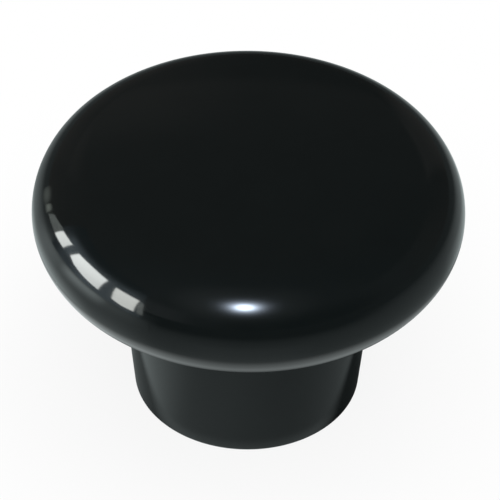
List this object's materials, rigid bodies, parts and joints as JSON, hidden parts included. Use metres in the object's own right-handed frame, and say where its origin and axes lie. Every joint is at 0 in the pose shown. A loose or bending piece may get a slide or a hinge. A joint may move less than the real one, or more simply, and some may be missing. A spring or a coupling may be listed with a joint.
{
  "type": "cabinet knob",
  "caption": "Round cabinet or drawer knob in glossy black plastic: a domed mushroom head on a tapered stem, with a threaded brass insert in its base for a screw.",
  "frame": {"origin": "centre of the mounting face, on the plane that meets the door or drawer front", "axes": "+Z along the knob's axis, from the mounting face to the crown; +X and +Y along two of the four ribs in the base"},
  "size_m": [0.038, 0.038, 0.027],
  "materials": {
    "black_plastic": "polished black moulded plastic",
    "insert_brass": "turned and knurled brass"
  },
  "bodies": {
    "root": {"knob_body": "black_plastic", "threaded_insert": "insert_brass"}
  },
  "joints": []
}
